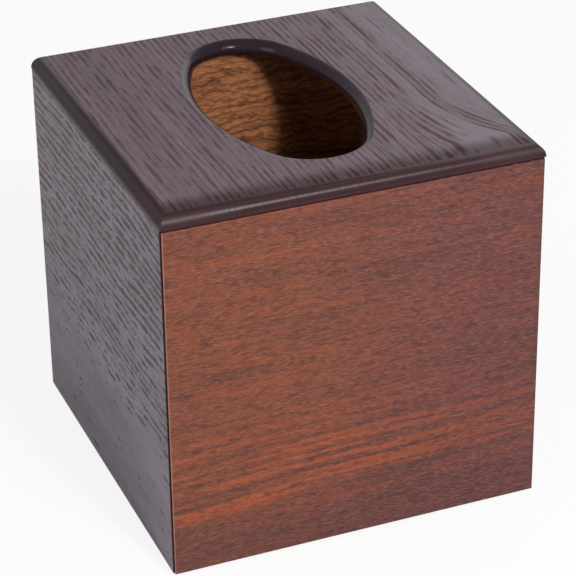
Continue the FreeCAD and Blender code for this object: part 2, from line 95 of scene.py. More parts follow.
# Adds a node. An input takes a number, a hex colour, an output, or a node in place of its first output.
def addNode(tree, kind, settings, inputs):
    node = tree.nodes.new(kind)
    for name, value in settings.items():
        setattr(node, name, value)
    for name, value in inputs.items():
        if isinstance(name, int):
            socket = node.inputs[name]
        else:
            socket = [item for item in node.inputs if item.enabled and item.name == name][0]
        if isinstance(value, bpy.types.Node):
            value = [item for item in value.outputs if item.enabled][0]
        if isinstance(value, bpy.types.NodeSocket):
            tree.links.new(value, socket)
        elif isinstance(value, str):
            socket.default_value = srgb(value)
        else:
            socket.default_value = value
    return node


def newMaterial(name):
    material = bpy.data.materials.new(name)
    material.use_nodes = True
    tree = material.node_tree
    tree.nodes.clear()
    return material, tree


# The object's own coordinates, in millimetres.
def ownPlace(tree):
    own = addNode(tree, "ShaderNodeTexCoord", {}, {})
    return addNode(tree, "ShaderNodeVectorMath", {"operation": "SCALE"}, {
        0: own.outputs["Object"], "Scale": 1 / mm})


# The same as three numbers, along the grain, across it and into the board, moved to another part of the log.
def grainPlace(tree, place, axes, shift):
    return [addNode(tree, "ShaderNodeMath", {"operation": "ADD"}, {0: place.outputs[axis], 1: amount})
            for axis, amount in zip(axes, shift)]


# Coordinates for a pattern whose features have the given lengths.
def stretch(tree, outputs, lengths):
    parts = [addNode(tree, "ShaderNodeMath", {"operation": "DIVIDE"}, {0: output, 1: length})
             for output, length in zip(outputs, lengths)]
    return addNode(tree, "ShaderNodeCombineXYZ", {}, dict(enumerate(parts)))


# Ash, plain sawn, stained near black and oiled. The stain sits deepest in the open pores, which show as
# dark strokes along the grain, crowded in the early wood and sparse in the calm late wood between.
# Lengths and places are in millimetres, and three lengths run along the grain, across it and into it.

topAsh = {
    "axes": "YXZ",
    "shift": (0.0, 0.0, 0.0),
    # The rings sway, and on the right they bend outwards as they come to the front.
    "sway": 1.6,
    "swayLengths": (62.0, 34.0, 34.0),
    "bend": 15.0,
    "bendFront": (-15.0, -62.0),
    "bendRight": (32.0, 64.0),
    # The early wood starts to crowd at the first place across the board and is dense from the second. It
    # also lies in one band, given by its middle and its half width.
    "dense": (50.5, 46.5),
    "sparse": 0.12,
    "band": (55.0, 3.4),
    "bandCore": 0.6,
    "bandShare": 1.0,
    # Length, row spacing, width, depth of colour and start of each layer of strokes.
    "strokes": ((17.0, 2.65, 1.15, 1.0, 0.0), (9.0, 1.3, 0.6, 0.45, 40.0)),
    "strokeLevel": (0.7, 0.43),
    "strokeTaper": 0.18,
    "rowStep": 7.31,
    # How far a row wanders, and the lengths of its wandering, in strokes, in rows and in millimetres.
    "wander": 1.3,
    "wanderLengths": (3.0, 4.0, 30.0),
    "pore": "#35272c",
    "poreDepth": 0.5,
    "softness": 0.24,
    "grit": 0.16,
    "gritLengths": (2.4, 0.6, 2.0),
    # The ground between the pores. Its lilac grey is partly painted sheen, lighter than the dark stain
    # itself.
    # Its fibres are about twice as coarse as real ones, so that they show.
    "field": "#615158",
    "calm": "#695c65",
    "noiseSpan": (0.3, 0.7),
    "ringLengths": (110.0, 7.0, 30.0),
    "ringShade": 0.16,
    "fibreLengths": (16.0, 0.45, 4.0),
    "fibreShade": 0.09,
    # The dark of rim and rounds, redder at the front. On the rounds it is painted shade, for the dark
    # surroundings they reflect. A round is dark from just below the top face, and the dark ends a little
    # below the seam, on the side boards.
    "edge": "#20121a",
    "edgeFront": "#2c1014",
    "rimAndRoundShadeShare": 0.94,
    "redFrom": (-46.0, -58.0),
    "frontBand": (-60.0, -70.5),
    "sideBand": (69.2, 72.8),
    "roundFrom": (0.0, 0.16),
    "edgeEnd": (4.4, 7.4),
    # A side board's front arris is darkened: painted shade of the joint at the front corner.
    "arris": 0.0,
    "arrisShadeColour": "#2c1d20",
    "arrisFrom": (-74.6, -75.2),
    "roughness": 0.38,
    "poreRoughness": 0.75,
    "roundRoughness": 0.3,
    "lipRoughness": 0.19,
    "lipFrom": (60.0, 40.0),
    "ior": 1.13,
    "fibreRelief": 0.3,
    "rubbedRelief": 0.25,
    "bumpStrength": 0.5,
    "bumpDepth": 0.1 * mm,
}
# Hands have waxed the front round: it reflects more than the other rounds, in a broader line.
frontRoundAsh = dict(topAsh, ior=1.21, roundRoughness=0.42)
# The side boards' ground is lighter and greyer than the top's, as painted light and painted sheen for the
# grazing reflection they catch.
leftAsh = dict(topAsh, axes="YZX", shift=(310.0, 0.0, 0.0), sway=6.0, bend=0.0,
               ringLengths=(110.0, 11.0, 30.0),
               strokes=((11.0, 3.7, 1.55, 1.0, 0.0), (6.0, 1.9, 0.8, 0.45, 40.0)),
               dense=(46.0, 60.0), band=(122.0, 36.0), bandShare=1.25, field="#726872", calm="#6c626d",
               pore="#2c2029", poreDepth=1.0, softness=0.1, grit=0.4, arris=0.9,
               frontBand=(-900.0, -950.0), sideBand=(900.0, 950.0))  # off the board, which has no rim
rightAsh = dict(leftAsh, shift=(-170.0, 0.0, 0.0), dense=(20.0, 34.0), band=(8.0, 5.0), bandShare=0.35,
                poreDepth=0.8)
backAsh = dict(leftAsh, axes="XZY", shift=(530.0, 0.0, 60.0), dense=(70.0, 84.0), band=(50.0, 5.0),
               bandShare=0.35, poreDepth=0.75)
baseAsh = dict(leftAsh, axes="YXZ", shift=(90.0, 100.0, 0.0))


def makeAsh(name, wood):
    material, tree = newMaterial(name)
    place = addNode(tree, "ShaderNodeSeparateXYZ", {}, {0: ownPlace(tree)})
    along, across, deep = grainPlace(tree, place, wood["axes"], wood["shift"])
    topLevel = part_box("top_panel")[1][2] / mm

    nearFront = addNode(tree, "ShaderNodeMapRange", {}, {
        "Value": along, "From Min": wood["bendFront"][0], "From Max": wood["bendFront"][1]})
    bow = addNode(tree, "ShaderNodeMath", {"operation": "MULTIPLY"}, {0: nearFront, 1: nearFront})
    onRight = addNode(tree, "ShaderNodeMapRange", {}, {
        "Value": across, "From Min": wood["bendRight"][0], "From Max": wood["bendRight"][1],
        "To Max": -wood["bend"]})
    bent = addNode(tree, "ShaderNodeMath", {"operation": "MULTIPLY_ADD"}, {0: bow, 1: onRight, 2: across})
    swaySpace = stretch(tree, (along, across, deep), wood["swayLengths"])
    sway = addNode(tree, "ShaderNodeTexNoise", {}, {"Vector": swaySpace, "Scale": 1.0, "Detail": 1.0})
    swayed = addNode(tree, "ShaderNodeMath", {"operation": "MULTIPLY_ADD"}, {
        0: sway, 1: wood["sway"], 2: bent})
    unbent = addNode(tree, "ShaderNodeMath", {"operation": "MULTIPLY_ADD"}, {
        0: sway, 1: wood["sway"], 2: across})

    # Where the early wood crowds: all over the straight grained part, and in one band beside it.
    straight = addNode(tree, "ShaderNodeMapRange", smoothly, {
        "Value": unbent, "From Min": wood["dense"][0], "From Max": wood["dense"][1],
        "To Min": wood["sparse"]})
    bandMiddle, bandHalf = wood["band"]
    fromBand = addNode(tree, "ShaderNodeMath", {"operation": "SUBTRACT"}, {0: swayed, 1: bandMiddle})
    fromBand = addNode(tree, "ShaderNodeMath", {"operation": "ABSOLUTE"}, {0: fromBand})
    inBand = addNode(tree, "ShaderNodeMapRange", smoothly, {
        "Value": fromBand, "From Min": bandHalf, "From Max": wood["bandCore"] * bandHalf,
        "To Max": wood["bandShare"]})
    crowd = addNode(tree, "ShaderNodeMath", {"operation": "MAXIMUM"}, {0: straight, 1: inBand})

    # Pores: rows of strokes with tapered ends. Each row cuts its own line through a noise, and the level
    # of the cut falls as the early wood crowds.
    level = addNode(tree, "ShaderNodeMapRange", {"clamp": False}, {
        "Value": crowd, "To Min": wood["strokeLevel"][0], "To Max": wood["strokeLevel"][1]})
    gritSpace = stretch(tree, (along, swayed, deep), wood["gritLengths"])
    grit = addNode(tree, "ShaderNodeTexNoise", {}, {"Vector": gritSpace, "Scale": 1.0, "Detail": 1.0})
    ragged = addNode(tree, "ShaderNodeMapRange", {}, {
        "Value": grit, "To Min": -wood["grit"], "To Max": wood["grit"]})
    strokesLong, rowsWide, wanderDeep = wood["wanderLengths"]
    pore = 0.0
    for length, spacing, width, depth, start in wood["strokes"]:
        wanderSpace = stretch(tree, (along, swayed, deep), (
            strokesLong * length, rowsWide * spacing, wanderDeep))
        wander = addNode(tree, "ShaderNodeTexNoise", {}, {
            "Vector": wanderSpace, "Scale": 1.0, "Detail": 2.0})
        wandered = addNode(tree, "ShaderNodeMath", {"operation": "MULTIPLY_ADD"}, {
            0: wander, 1: wood["wander"] * spacing, 2: swayed})
        row = addNode(tree, "ShaderNodeMath", {"operation": "DIVIDE"}, {0: wandered, 1: spacing})
        rowNumber = addNode(tree, "ShaderNodeMath", {"operation": "FLOOR"}, {0: row})
        fromRow = addNode(tree, "ShaderNodeMath", {"operation": "SUBTRACT"}, {0: row, 1: rowNumber})
        fromRow = addNode(tree, "ShaderNodeMath", {"operation": "SUBTRACT"}, {0: fromRow, 1: 0.5})
        wide = addNode(tree, "ShaderNodeMath", {"operation": "MULTIPLY"}, {0: fromRow, 1: fromRow})
        lineSpace = addNode(tree, "ShaderNodeCombineXYZ", {}, {
            0: addNode(tree, "ShaderNodeMath", {"operation": "DIVIDE"}, {0: along, 1: length}),
            1: addNode(tree, "ShaderNodeMath", {"operation": "MULTIPLY_ADD"}, {
                0: rowNumber, 1: wood["rowStep"], 2: start})})
        line = addNode(tree, "ShaderNodeTexNoise", {"noise_dimensions": "2D"}, {
            "Vector": lineSpace, "Scale": 1.0, "Detail": 2.0, "Roughness": 0.55})
        over = addNode(tree, "ShaderNodeMath", {"operation": "SUBTRACT"}, {0: line, 1: level})
        over = addNode(tree, "ShaderNodeMath", {"operation": "MULTIPLY_ADD"}, {
            0: wide, 1: -wood["strokeTaper"] * (2.0 * spacing / width) ** 2, 2: over})
        over = addNode(tree, "ShaderNodeMath", {"operation": "ADD"}, {0: over, 1: ragged})
        stroke = addNode(tree, "ShaderNodeMapRange", smoothly, {
            "Value": over, "From Min": -wood["softness"], "From Max": wood["softness"], "To Max": depth})
        pore = addNode(tree, "ShaderNodeMath", {"operation": "MAXIMUM"}, {0: stroke, 1: pore})

    # The ground is shaded by slow rings and by fine fibres, and the pores lie over it.
    ringSpace = stretch(tree, (along, swayed, deep), wood["ringLengths"])
    ring = addNode(tree, "ShaderNodeTexNoise", {}, {"Vector": ringSpace, "Scale": 1.0, "Detail": 2.0})
    fibreSpace = stretch(tree, (along, swayed, deep), wood["fibreLengths"])
    fibre = addNode(tree, "ShaderNodeTexNoise", {}, {
        "Vector": fibreSpace, "Scale": 1.0, "Detail": 2.0, "Roughness": 0.6})
    ground = addNode(tree, "ShaderNodeMix", inColour, {
        "Factor": crowd, "A": wood["calm"], "B": wood["field"]})
    for noise, reach in ((ring, wood["ringShade"]), (fibre, wood["fibreShade"])):
        shade = addNode(tree, "ShaderNodeMapRange", {}, {
            "Value": noise, "From Min": wood["noiseSpan"][0], "From Max": wood["noiseSpan"][1],
            "To Min": 1.0 - reach, "To Max": 1.0 + reach})
        ground = addNode(tree, "ShaderNodeVectorMath", {"operation": "SCALE"}, {0: ground, "Scale": shade})
    poreShare = addNode(tree, "ShaderNodeMath", {"operation": "MULTIPLY"}, {0: pore, 1: wood["poreDepth"]})
    stainAndArrisShade = addNode(tree, "ShaderNodeMix", inColour, {"Factor": poreShare, "A": ground, "B": wood["pore"]})

    # The rubbed front arris of a side board shows no pores, and is darkened as painted shade of the joint
    # at the front corner.
    arris = addNode(tree, "ShaderNodeMapRange", {}, {
        "Value": place.outputs["Y"], "From Min": wood["arrisFrom"][0], "From Max": wood["arrisFrom"][1],
        "To Max": wood["arris"]})
    stainAndArrisShade = addNode(tree, "ShaderNodeMix", inColour, {
        "Factor": arris, "A": stainAndArrisShade, "B": wood["arrisShadeColour"]})

    # The top board darkens towards its rim, and more at the front.
    frontBand = addNode(tree, "ShaderNodeMapRange", smoothly, {
        "Value": place.outputs["Y"], "From Min": wood["frontBand"][0], "From Max": wood["frontBand"][1]})
    fromMiddle = addNode(tree, "ShaderNodeMath", {"operation": "ABSOLUTE"}, {0: place.outputs["X"]})
    sideBand = addNode(tree, "ShaderNodeMapRange", smoothly, {
        "Value": fromMiddle, "From Min": wood["sideBand"][0], "From Max": wood["sideBand"][1]})
    rim = addNode(tree, "ShaderNodeMath", {"operation": "MAXIMUM"}, {0: frontBand, 1: sideBand})

    # Rounded edges are painted nearly black, as painted shade for the dark surroundings they reflect, and
    # they are rubbed smooth and glossier.
    drop = addNode(tree, "ShaderNodeMath", {"operation": "SUBTRACT"}, {0: topLevel, 1: place.outputs["Z"]})
    rounded = addNode(tree, "ShaderNodeMapRange", smoothly, {
        "Value": drop, "From Min": wood["roundFrom"][0], "From Max": wood["roundFrom"][1]})
    edge = addNode(tree, "ShaderNodeMath", {"operation": "MAXIMUM"}, {0: rim, 1: rounded})
    above = addNode(tree, "ShaderNodeMapRange", smoothly, {
        "Value": drop, "From Min": wood["edgeEnd"][0], "From Max": wood["edgeEnd"][1],
        "To Min": 1.0, "To Max": 0.0})
    edge = addNode(tree, "ShaderNodeMath", {"operation": "MULTIPLY"}, {0: edge, 1: above})
    redder = addNode(tree, "ShaderNodeMapRange", {}, {
        "Value": place.outputs["Y"], "From Min": wood["redFrom"][0], "From Max": wood["redFrom"][1]})
    rimAndRoundShadeColour = addNode(tree, "ShaderNodeMix", inColour, {
        "Factor": redder, "A": wood["edge"], "B": wood["edgeFront"]})
    rimAndRoundShadeShare = addNode(tree, "ShaderNodeMath", {"operation": "MULTIPLY"}, {0: edge, 1: wood["rimAndRoundShadeShare"]})
    colour = addNode(tree, "ShaderNodeMix", inColour, {"Factor": rimAndRoundShadeShare, "A": stainAndArrisShade, "B": rimAndRoundShadeColour})

    # Gloss: the top board is dull in its pores, satin on its outer rounds, and polished by hands on the
    # mouth's lip. The boards below it are as smooth as its rounds, and in the middle of the back and the
    # base as its lip.
    nearMouth = addNode(tree, "ShaderNodeMapRange", {}, {
        "Value": fromMiddle, "From Min": wood["lipFrom"][0], "From Max": wood["lipFrom"][1]})
    rubbed = addNode(tree, "ShaderNodeMapRange", {}, {
        "Value": nearMouth, "To Min": wood["roundRoughness"], "To Max": wood["lipRoughness"]})
    dull = addNode(tree, "ShaderNodeMapRange", {}, {
        "Value": pore, "To Min": wood["roughness"], "To Max": wood["poreRoughness"]})
    roughness = addNode(tree, "ShaderNodeMix", {"data_type": "FLOAT"}, {
        "Factor": rounded, "A": dull, "B": rubbed})

    # Pores and fibres are hollows, shallower where the edge is rubbed.
    relief = addNode(tree, "ShaderNodeMath", {"operation": "MULTIPLY"}, {0: fibre, 1: -wood["fibreRelief"]})
    relief = addNode(tree, "ShaderNodeMath", {"operation": "SUBTRACT"}, {0: relief, 1: pore})
    smoothing = addNode(tree, "ShaderNodeMapRange", {}, {
        "Value": edge, "To Min": 1.0, "To Max": wood["rubbedRelief"]})
    relief = addNode(tree, "ShaderNodeMath", {"operation": "MULTIPLY"}, {0: relief, 1: smoothing})
    bump = addNode(tree, "ShaderNodeBump", {}, {
        "Strength": wood["bumpStrength"], "Distance": wood["bumpDepth"], "Height": relief})
    shader = addNode(tree, "ShaderNodeBsdfPrincipled", {}, {
        "Base Color": colour, "Roughness": roughness, "IOR": wood["ior"], "Specular IOR Level": 1.0,
        "Normal": bump})
    addNode(tree, "ShaderNodeOutputMaterial", {}, {"Surface": shader})
    return material


# Walnut, planed and oiled: red-brown with orange streaks along the grain, and a fine speckle of cut fibres
# and short pores. It turns purple to the right as painted sheen. The drawer front's left arris carries a
# pale painted highlight, and its right one is darker.

frontWalnut = {
    "axes": "XZY",
    "shift": (0.0, 0.0, 0.0),
    "brown": "#763f2b",
    "purple": "#653733",
    "dark": "#4a2d28",
    "orange": "#a04a26",
    "foot": "#4d2e33",
    "speck": "#927468",
    "pores": "#33242a",
    # A pale painted highlight on the drawer front's left arris.
    "paintedArrisHighlight": "#a0705f",
    # A darker colour for the drawer front's right arris.
    "darkRightArris": "#33201e",
    # The grain sways, and in the lower third of the front it rises to the right, bowed on the left.
    "sway": 1.6,
    "swayLengths": (46.0, 20.0, 40.0),
    "slant": 0.016,
    "slantBow": 66.0,
    "lowerThird": (66.0, 34.0),
    # Patterns: lengths along the grain, across it and into it, then the noise's detail and roughness.
    "patterns": {
        "cloud": ((60.0, 11.0, 20.0), 3.0, 0.55),
        "streak": ((85.0, 2.3, 10.0), 2.0, 0.5),
        "line": ((16.0, 0.9, 6.0), 2.5, 0.6),
        "speck": ((2.6, 0.5, 2.0), 1.5, 0.6),
        "mottle": ((7.0, 1.9, 4.0), 2.0, 0.5),
        "wave": ((13.0, 9.0, 14.0), 3.0, 0.5),
    },
    "waveReach": 12.0,
    "waveSpacing": 3.6,
    # Masks: what each is read from, where it begins, where it is full, and how much it then covers.
    "masks": {
        # The purple to the right is painted sheen.
        "paintedSheen": ("along", -40.0, 60.0, 1.0),
        "cloud": ("cloud", 0.44, 0.72, 0.45),
        "streak": ("streak", 0.48, 0.62, 1.0),
        "gap": ("streak", 0.5, 0.34, 0.55),
        "aboveFoot": ("across", 14.0, 28.0, 1.0),
        "foot": ("across", 28.0, 12.0, 0.45),
        "line": ("line", 0.5, 0.72, 0.36),
        "figure": ("ridge", -0.2, 1.0, 0.0),
        "fleck": ("speck", 0.48, 0.74, 0.28),
        "pores": ("hollow", 0.54, 0.32, 0.6),
        "leftArris": ("side", -74.0, -74.4, 0.6),
        "rightArris": ("side", 73.8, 74.4, 0.5),
    },
    "streakFade": (70.0, -25.0),
    "streakFaded": 0.25,
    "streakShare": (0.16, 0.7),
    "figureBreak": (0.35, 0.6),
    "figureFaint": 0.45,
    "roughness": 0.42,
    "bumpStrength": 0.5,
    "bumpDepth": 0.12 * mm,
}
# The drawer box's walnut is painted much lighter than the front's: painted light, for the light through the
# mouth.
drawerSideWalnut = dict(frontWalnut, axes="YZX", shift=(200.0, 50.0, 0.0), brown="#b4764f", purple="#a96c49",
                        dark="#37231a", orange="#dc9252", speck="#e6a76c", pores="#4a261a", sway=4.0,
                        slant=0.0, masks=dict(frontWalnut["masks"], cloud=("cloud", 0.44, 0.72, 0.75),
                                              figure=("ridge", -0.2, 1.0, 0.75)))
drawerBackWalnut = dict(drawerSideWalnut, axes="XZY", shift=(90.0, 30.0, 40.0))


def makeWalnut(name, wood):
    material, tree = newMaterial(name)
    place = addNode(tree, "ShaderNodeSeparateXYZ", {}, {0: ownPlace(tree)})
    along, across, deep = grainPlace(tree, place, wood["axes"], wood["shift"])

    low = addNode(tree, "ShaderNodeMapRange", smoothly, {
        "Value": across, "From Min": wood["lowerThird"][0], "From Max": wood["lowerThird"][1]})
    leftOnly = addNode(tree, "ShaderNodeMath", {"operation": "MINIMUM"}, {0: along, 1: 0.0})
    curve = addNode(tree, "ShaderNodeMath", {"operation": "MULTIPLY"}, {0: leftOnly, 1: leftOnly})
    lift = addNode(tree, "ShaderNodeMath", {"operation": "MULTIPLY"}, {0: along, 1: -wood["slant"]})
    lift = addNode(tree, "ShaderNodeMath", {"operation": "MULTIPLY_ADD"}, {
        0: curve, 1: wood["slant"] / wood["slantBow"], 2: lift})
    slanted = addNode(tree, "ShaderNodeMath", {"operation": "MULTIPLY_ADD"}, {0: lift, 1: low, 2: across})
    swaySpace = stretch(tree, (along, across, deep), wood["swayLengths"])
    sway = addNode(tree, "ShaderNodeTexNoise", {}, {"Vector": swaySpace, "Scale": 1.0, "Detail": 1.5})
    swayed = addNode(tree, "ShaderNodeMath", {"operation": "MULTIPLY_ADD"}, {
        0: sway, 1: wood["sway"], 2: slanted})

    sources = {"side": place.outputs["X"], "along": along, "across": across}
    for title, (lengths, detail, roughness) in wood["patterns"].items():
        sources[title] = addNode(tree, "ShaderNodeTexNoise", {}, {
            "Vector": stretch(tree, (along, swayed, deep), lengths),
            "Scale": 1.0, "Detail": detail, "Roughness": roughness})

    # Pores lie where fine speckle and coarser mottle are both low.
    hollow = addNode(tree, "ShaderNodeMath", {"operation": "ADD"}, {
        0: sources["speck"], 1: sources["mottle"]})
    sources["hollow"] = addNode(tree, "ShaderNodeMath", {"operation": "MULTIPLY"}, {0: hollow, 1: 0.5})

    # Wavy late wood lines, which only the strongly figured boards of the drawer box show.
    waved = addNode(tree, "ShaderNodeMath", {"operation": "MULTIPLY_ADD"}, {
        0: sources["wave"], 1: wood["waveReach"], 2: swayed})
    turns = addNode(tree, "ShaderNodeMath", {"operation": "MULTIPLY"}, {
        0: waved, 1: math.tau / wood["waveSpacing"]})
    sources["ridge"] = addNode(tree, "ShaderNodeMath", {"operation": "SINE"}, {0: turns})

    masks = {}
    for title, (source, begins, full, covers) in wood["masks"].items():
        masks[title] = addNode(tree, "ShaderNodeMapRange", smoothly, {
            "Value": sources[source], "From Min": begins, "From Max": full, "To Max": covers})

    # Orange streaks with dark gaps, strong in the lower third and faint above, fading to the right.
    fading = addNode(tree, "ShaderNodeMapRange", smoothly, {
        "Value": along, "From Min": wood["streakFade"][0], "From Max": wood["streakFade"][1],
        "To Min": wood["streakFaded"]})
    streakBand = addNode(tree, "ShaderNodeMath", {"operation": "MULTIPLY"}, {0: low, 1: masks["aboveFoot"]})
    streakBand = addNode(tree, "ShaderNodeMath", {"operation": "MULTIPLY"}, {0: streakBand, 1: fading})
    streakShare = addNode(tree, "ShaderNodeMapRange", {}, {
        "Value": streakBand, "To Min": wood["streakShare"][0], "To Max": wood["streakShare"][1]})
    streaks = addNode(tree, "ShaderNodeMath", {"operation": "MULTIPLY"}, {
        0: masks["streak"], 1: streakShare})
    gaps = addNode(tree, "ShaderNodeMath", {"operation": "MULTIPLY"}, {0: masks["gap"], 1: streakBand})

    # The figure is broken up by the clouds.
    unbroken = addNode(tree, "ShaderNodeMapRange", {}, {
        "Value": sources["cloud"], "From Min": wood["figureBreak"][0], "From Max": wood["figureBreak"][1],
        "To Min": wood["figureFaint"]})
    figure = addNode(tree, "ShaderNodeMath", {"operation": "MULTIPLY"}, {0: masks["figure"], 1: unbroken})

    # Each layer lies over the ones before it. Cut fibres catch light as short pale flecks beside the pores.
    body = addNode(tree, "ShaderNodeMix", inColour, {
        "Factor": masks["paintedSheen"], "A": wood["brown"], "B": wood["purple"]})
    layers = [
        (masks["cloud"], "dark"),
        (streaks, "orange"),
        (gaps, "dark"),
        (masks["foot"], "foot"),
        (masks["line"], "dark"),
        (figure, "dark"),
        (masks["fleck"], "speck"),
        (masks["pores"], "pores"),
        # A painted highlight on the left arris.
        (masks["leftArris"], "paintedArrisHighlight"),
        # A darker right arris.
        (masks["rightArris"], "darkRightArris"),
    ]
    for share, colour in layers:
        body = addNode(tree, "ShaderNodeMix", inColour, {"Factor": share, "A": body, "B": wood[colour]})

    relief = addNode(tree, "ShaderNodeMath", {"operation": "ADD"}, {0: sources["line"], 1: sources["speck"]})
    bump = addNode(tree, "ShaderNodeBump", {}, {
        "Strength": wood["bumpStrength"], "Distance": wood["bumpDepth"], "Height": relief})
    shader = addNode(tree, "ShaderNodeBsdfPrincipled", {}, {
        "Base Color": body, "Roughness": wood["roughness"], "IOR": 1.45, "Specular IOR Level": 0.3,
        "Normal": bump})
    addNode(tree, "ShaderNodeOutputMaterial", {}, {"Surface": shader})
    return material


# Birch and beech, sanded and left bare: pale, close grained and matt.

birchPlywood = {
    "axes": "YXZ",
    "light": "#cfae82",
    "dark": "#a9855a",
    "fibreLengths": (9.0, 0.7, 0.7),
    "cloudLengths": (60.0, 9.0, 9.0),
    "fibreShare": 0.6,
    "darkFrom": (0.55, 1.05),
    "roughness": 0.62,
    "bumpStrength": 0.3,
    "bumpDepth": 0.05 * mm,
}
turnedBeech = dict(birchPlywood, axes="ZXY", light="#c79a6e", dark="#9c7049")


def makePaleWood(name, wood):
    material, tree = newMaterial(name)
    place = addNode(tree, "ShaderNodeSeparateXYZ", {}, {0: ownPlace(tree)})
    grain = grainPlace(tree, place, wood["axes"], (0.0, 0.0, 0.0))
    fibre = addNode(tree, "ShaderNodeTexNoise", {}, {
        "Vector": stretch(tree, grain, wood["fibreLengths"]), "Scale": 1.0, "Detail": 3.0, "Roughness": 0.6})
    cloud = addNode(tree, "ShaderNodeTexNoise", {}, {
        "Vector": stretch(tree, grain, wood["cloudLengths"]), "Scale": 1.0, "Detail": 2.0})
    both = addNode(tree, "ShaderNodeMath", {"operation": "MULTIPLY_ADD"}, {
        0: fibre, 1: wood["fibreShare"], 2: cloud})
    share = addNode(tree, "ShaderNodeMapRange", {}, {
        "Value": both, "From Min": wood["darkFrom"][0], "From Max": wood["darkFrom"][1]})
    body = addNode(tree, "ShaderNodeMix", inColour, {"Factor": share, "A": wood["light"], "B": wood["dark"]})
    bump = addNode(tree, "ShaderNodeBump", {}, {
        "Strength": wood["bumpStrength"], "Distance": wood["bumpDepth"], "Height": fibre})
    shader = addNode(tree, "ShaderNodeBsdfPrincipled", {}, {
        "Base Color": body, "Roughness": wood["roughness"], "IOR": 1.45, "Normal": bump})
    addNode(tree, "ShaderNodeOutputMaterial", {}, {"Surface": shader})
    return material


# Pressed wool felt: dark, matt and fuzzy.

woolFelt = {
    "dark": "#1b1817",
    "light": "#3c3633",
    "fuzzPerMillimetre": 2.0,
    "roughness": 0.95,
    "sheen": 0.2,
    "bumpStrength": 0.9,
    "bumpDepth": 0.15 * mm,
}


def makeFelt(name):
    material, tree = newMaterial(name)
    fuzz = addNode(tree, "ShaderNodeTexNoise", {}, {
        "Vector": ownPlace(tree), "Scale": woolFelt["fuzzPerMillimetre"], "Detail": 4.0, "Roughness": 0.7})
    body = addNode(tree, "ShaderNodeMix", inColour, {
        "Factor": fuzz, "A": woolFelt["dark"], "B": woolFelt["light"]})
    bump = addNode(tree, "ShaderNodeBump", {}, {
        "Strength": woolFelt["bumpStrength"], "Distance": woolFelt["bumpDepth"], "Height": fuzz})
    shader = addNode(tree, "ShaderNodeBsdfPrincipled", {}, {
        "Base Color": body, "Roughness": woolFelt["roughness"], "Sheen Weight": woolFelt["sheen"],
        "Normal": bump})
    addNode(tree, "ShaderNodeOutputMaterial", {}, {"Surface": shader})
    return material


# Nickel plate on a disc magnet: bright, with light scuffs from the disc it meets.

nickelPlate = {
    "colour": "#cdc8bd",
    "scuffsPerMillimetre": 1.2,
    "roughness": (0.16, 0.36),
}


def makeNickel(name):
    material, tree = newMaterial(name)
    scuff = addNode(tree, "ShaderNodeTexNoise", {}, {
        "Vector": ownPlace(tree), "Scale": nickelPlate["scuffsPerMillimetre"], "Detail": 4.0,
        "Roughness": 0.7})
    roughness = addNode(tree, "ShaderNodeMapRange", {}, {
        "Value": scuff, "To Min": nickelPlate["roughness"][0], "To Max": nickelPlate["roughness"][1]})
    shader = addNode(tree, "ShaderNodeBsdfPrincipled", {}, {
        "Base Color": nickelPlate["colour"], "Metallic": 1.0, "Roughness": roughness})
    addNode(tree, "ShaderNodeOutputMaterial", {}, {"Surface": shader})
    return material


topWood = makeAsh("oiledDarkAshTop", topAsh)
frontRoundWood = makeAsh("handPolishedDarkAsh", frontRoundAsh)
leftWood = makeAsh("oiledDarkAshLeft", leftAsh)
rightWood = makeAsh("oiledDarkAshRight", rightAsh)
backWood = makeAsh("oiledDarkAshBack", backAsh)
baseWood = makeAsh("oiledDarkAshBase", baseAsh)
frontWood = makeWalnut("oiledWalnutFront", frontWalnut)
drawerSideWood = makeWalnut("oiledWalnutDrawerSide", drawerSideWalnut)
drawerBackWood = makeWalnut("oiledWalnutDrawerBack", drawerBackWalnut)
plywood = makePaleWood("sandedBirchPlywood", birchPlywood)
beech = makePaleWood("turnedBeech", turnedBeech)
felt = makeFelt("pressedWoolFelt")
nickel = makeNickel("nickelPlatedMagnet")
print("materials made")

nodeMaterials = {
    "top_panel": topWood,
    "left_side_panel": leftWood,
    "right_side_panel": rightWood,
    "back_panel": backWood,
    "base_panel": baseWood,
    "left_corner_tongue": plywood,
    "right_corner_tongue": plywood,
    "top_panel_dowels": beech,
    "cover_magnets": nickel,
    "foot_pads": felt,
    "drawer_front": frontWood,
    "drawer_left_side": drawerSideWood,
    "drawer_right_side": drawerSideWood,
    "drawer_back": drawerBackWood,
    "drawer_bottom": plywood,
    "drawer_front_dowels": beech,
    "drawer_back_dowels": beech,
    "drawer_magnets": nickel,
}
for nodeName, material in nodeMaterials.items():
    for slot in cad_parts[nodeName].material_slots:
        slot.material = material
print("CAD nodes dressed")


# The top board again, with smooth rounds

topBoard = {
    "round": 4.6 * mm,
    "roundSteps": 10,
    "lipRound": 4.4 * mm,
    "lipEase": 0.4 * mm,
    "easeSteps": 2,
    "mouthWidth": 56.4 * mm,
    "mouthLength": 109.2 * mm,
    "mouthEndRadius": 19.5 * mm,
    "mouthSetback": 3.0 * mm,
    "mouthArcSteps": 36,
    "mouthMargin": 1.0 * mm,
    "longestLipEdge": 6.0 * mm,
    "cutterFrom": -10.0 * mm,
    "cutterHeight": 30.0 * mm,
    "touching": 0.001 * mm,
    "smoothAngle": 35.0,
    "flatWeight": 100,
    "facingFront": -0.5,
}


def selectEdges(mesh, test):
    bpy.ops.mesh.select_all(action="DESELECT")
    bpy.ops.mesh.select_mode(type="EDGE")
    work = bmesh.from_edit_mesh(mesh)
    for edge in work.edges:
        ends = [vert.co for vert in edge.verts]
        edge.select_set(test(*ends))
    bmesh.update_edit_mesh(mesh)


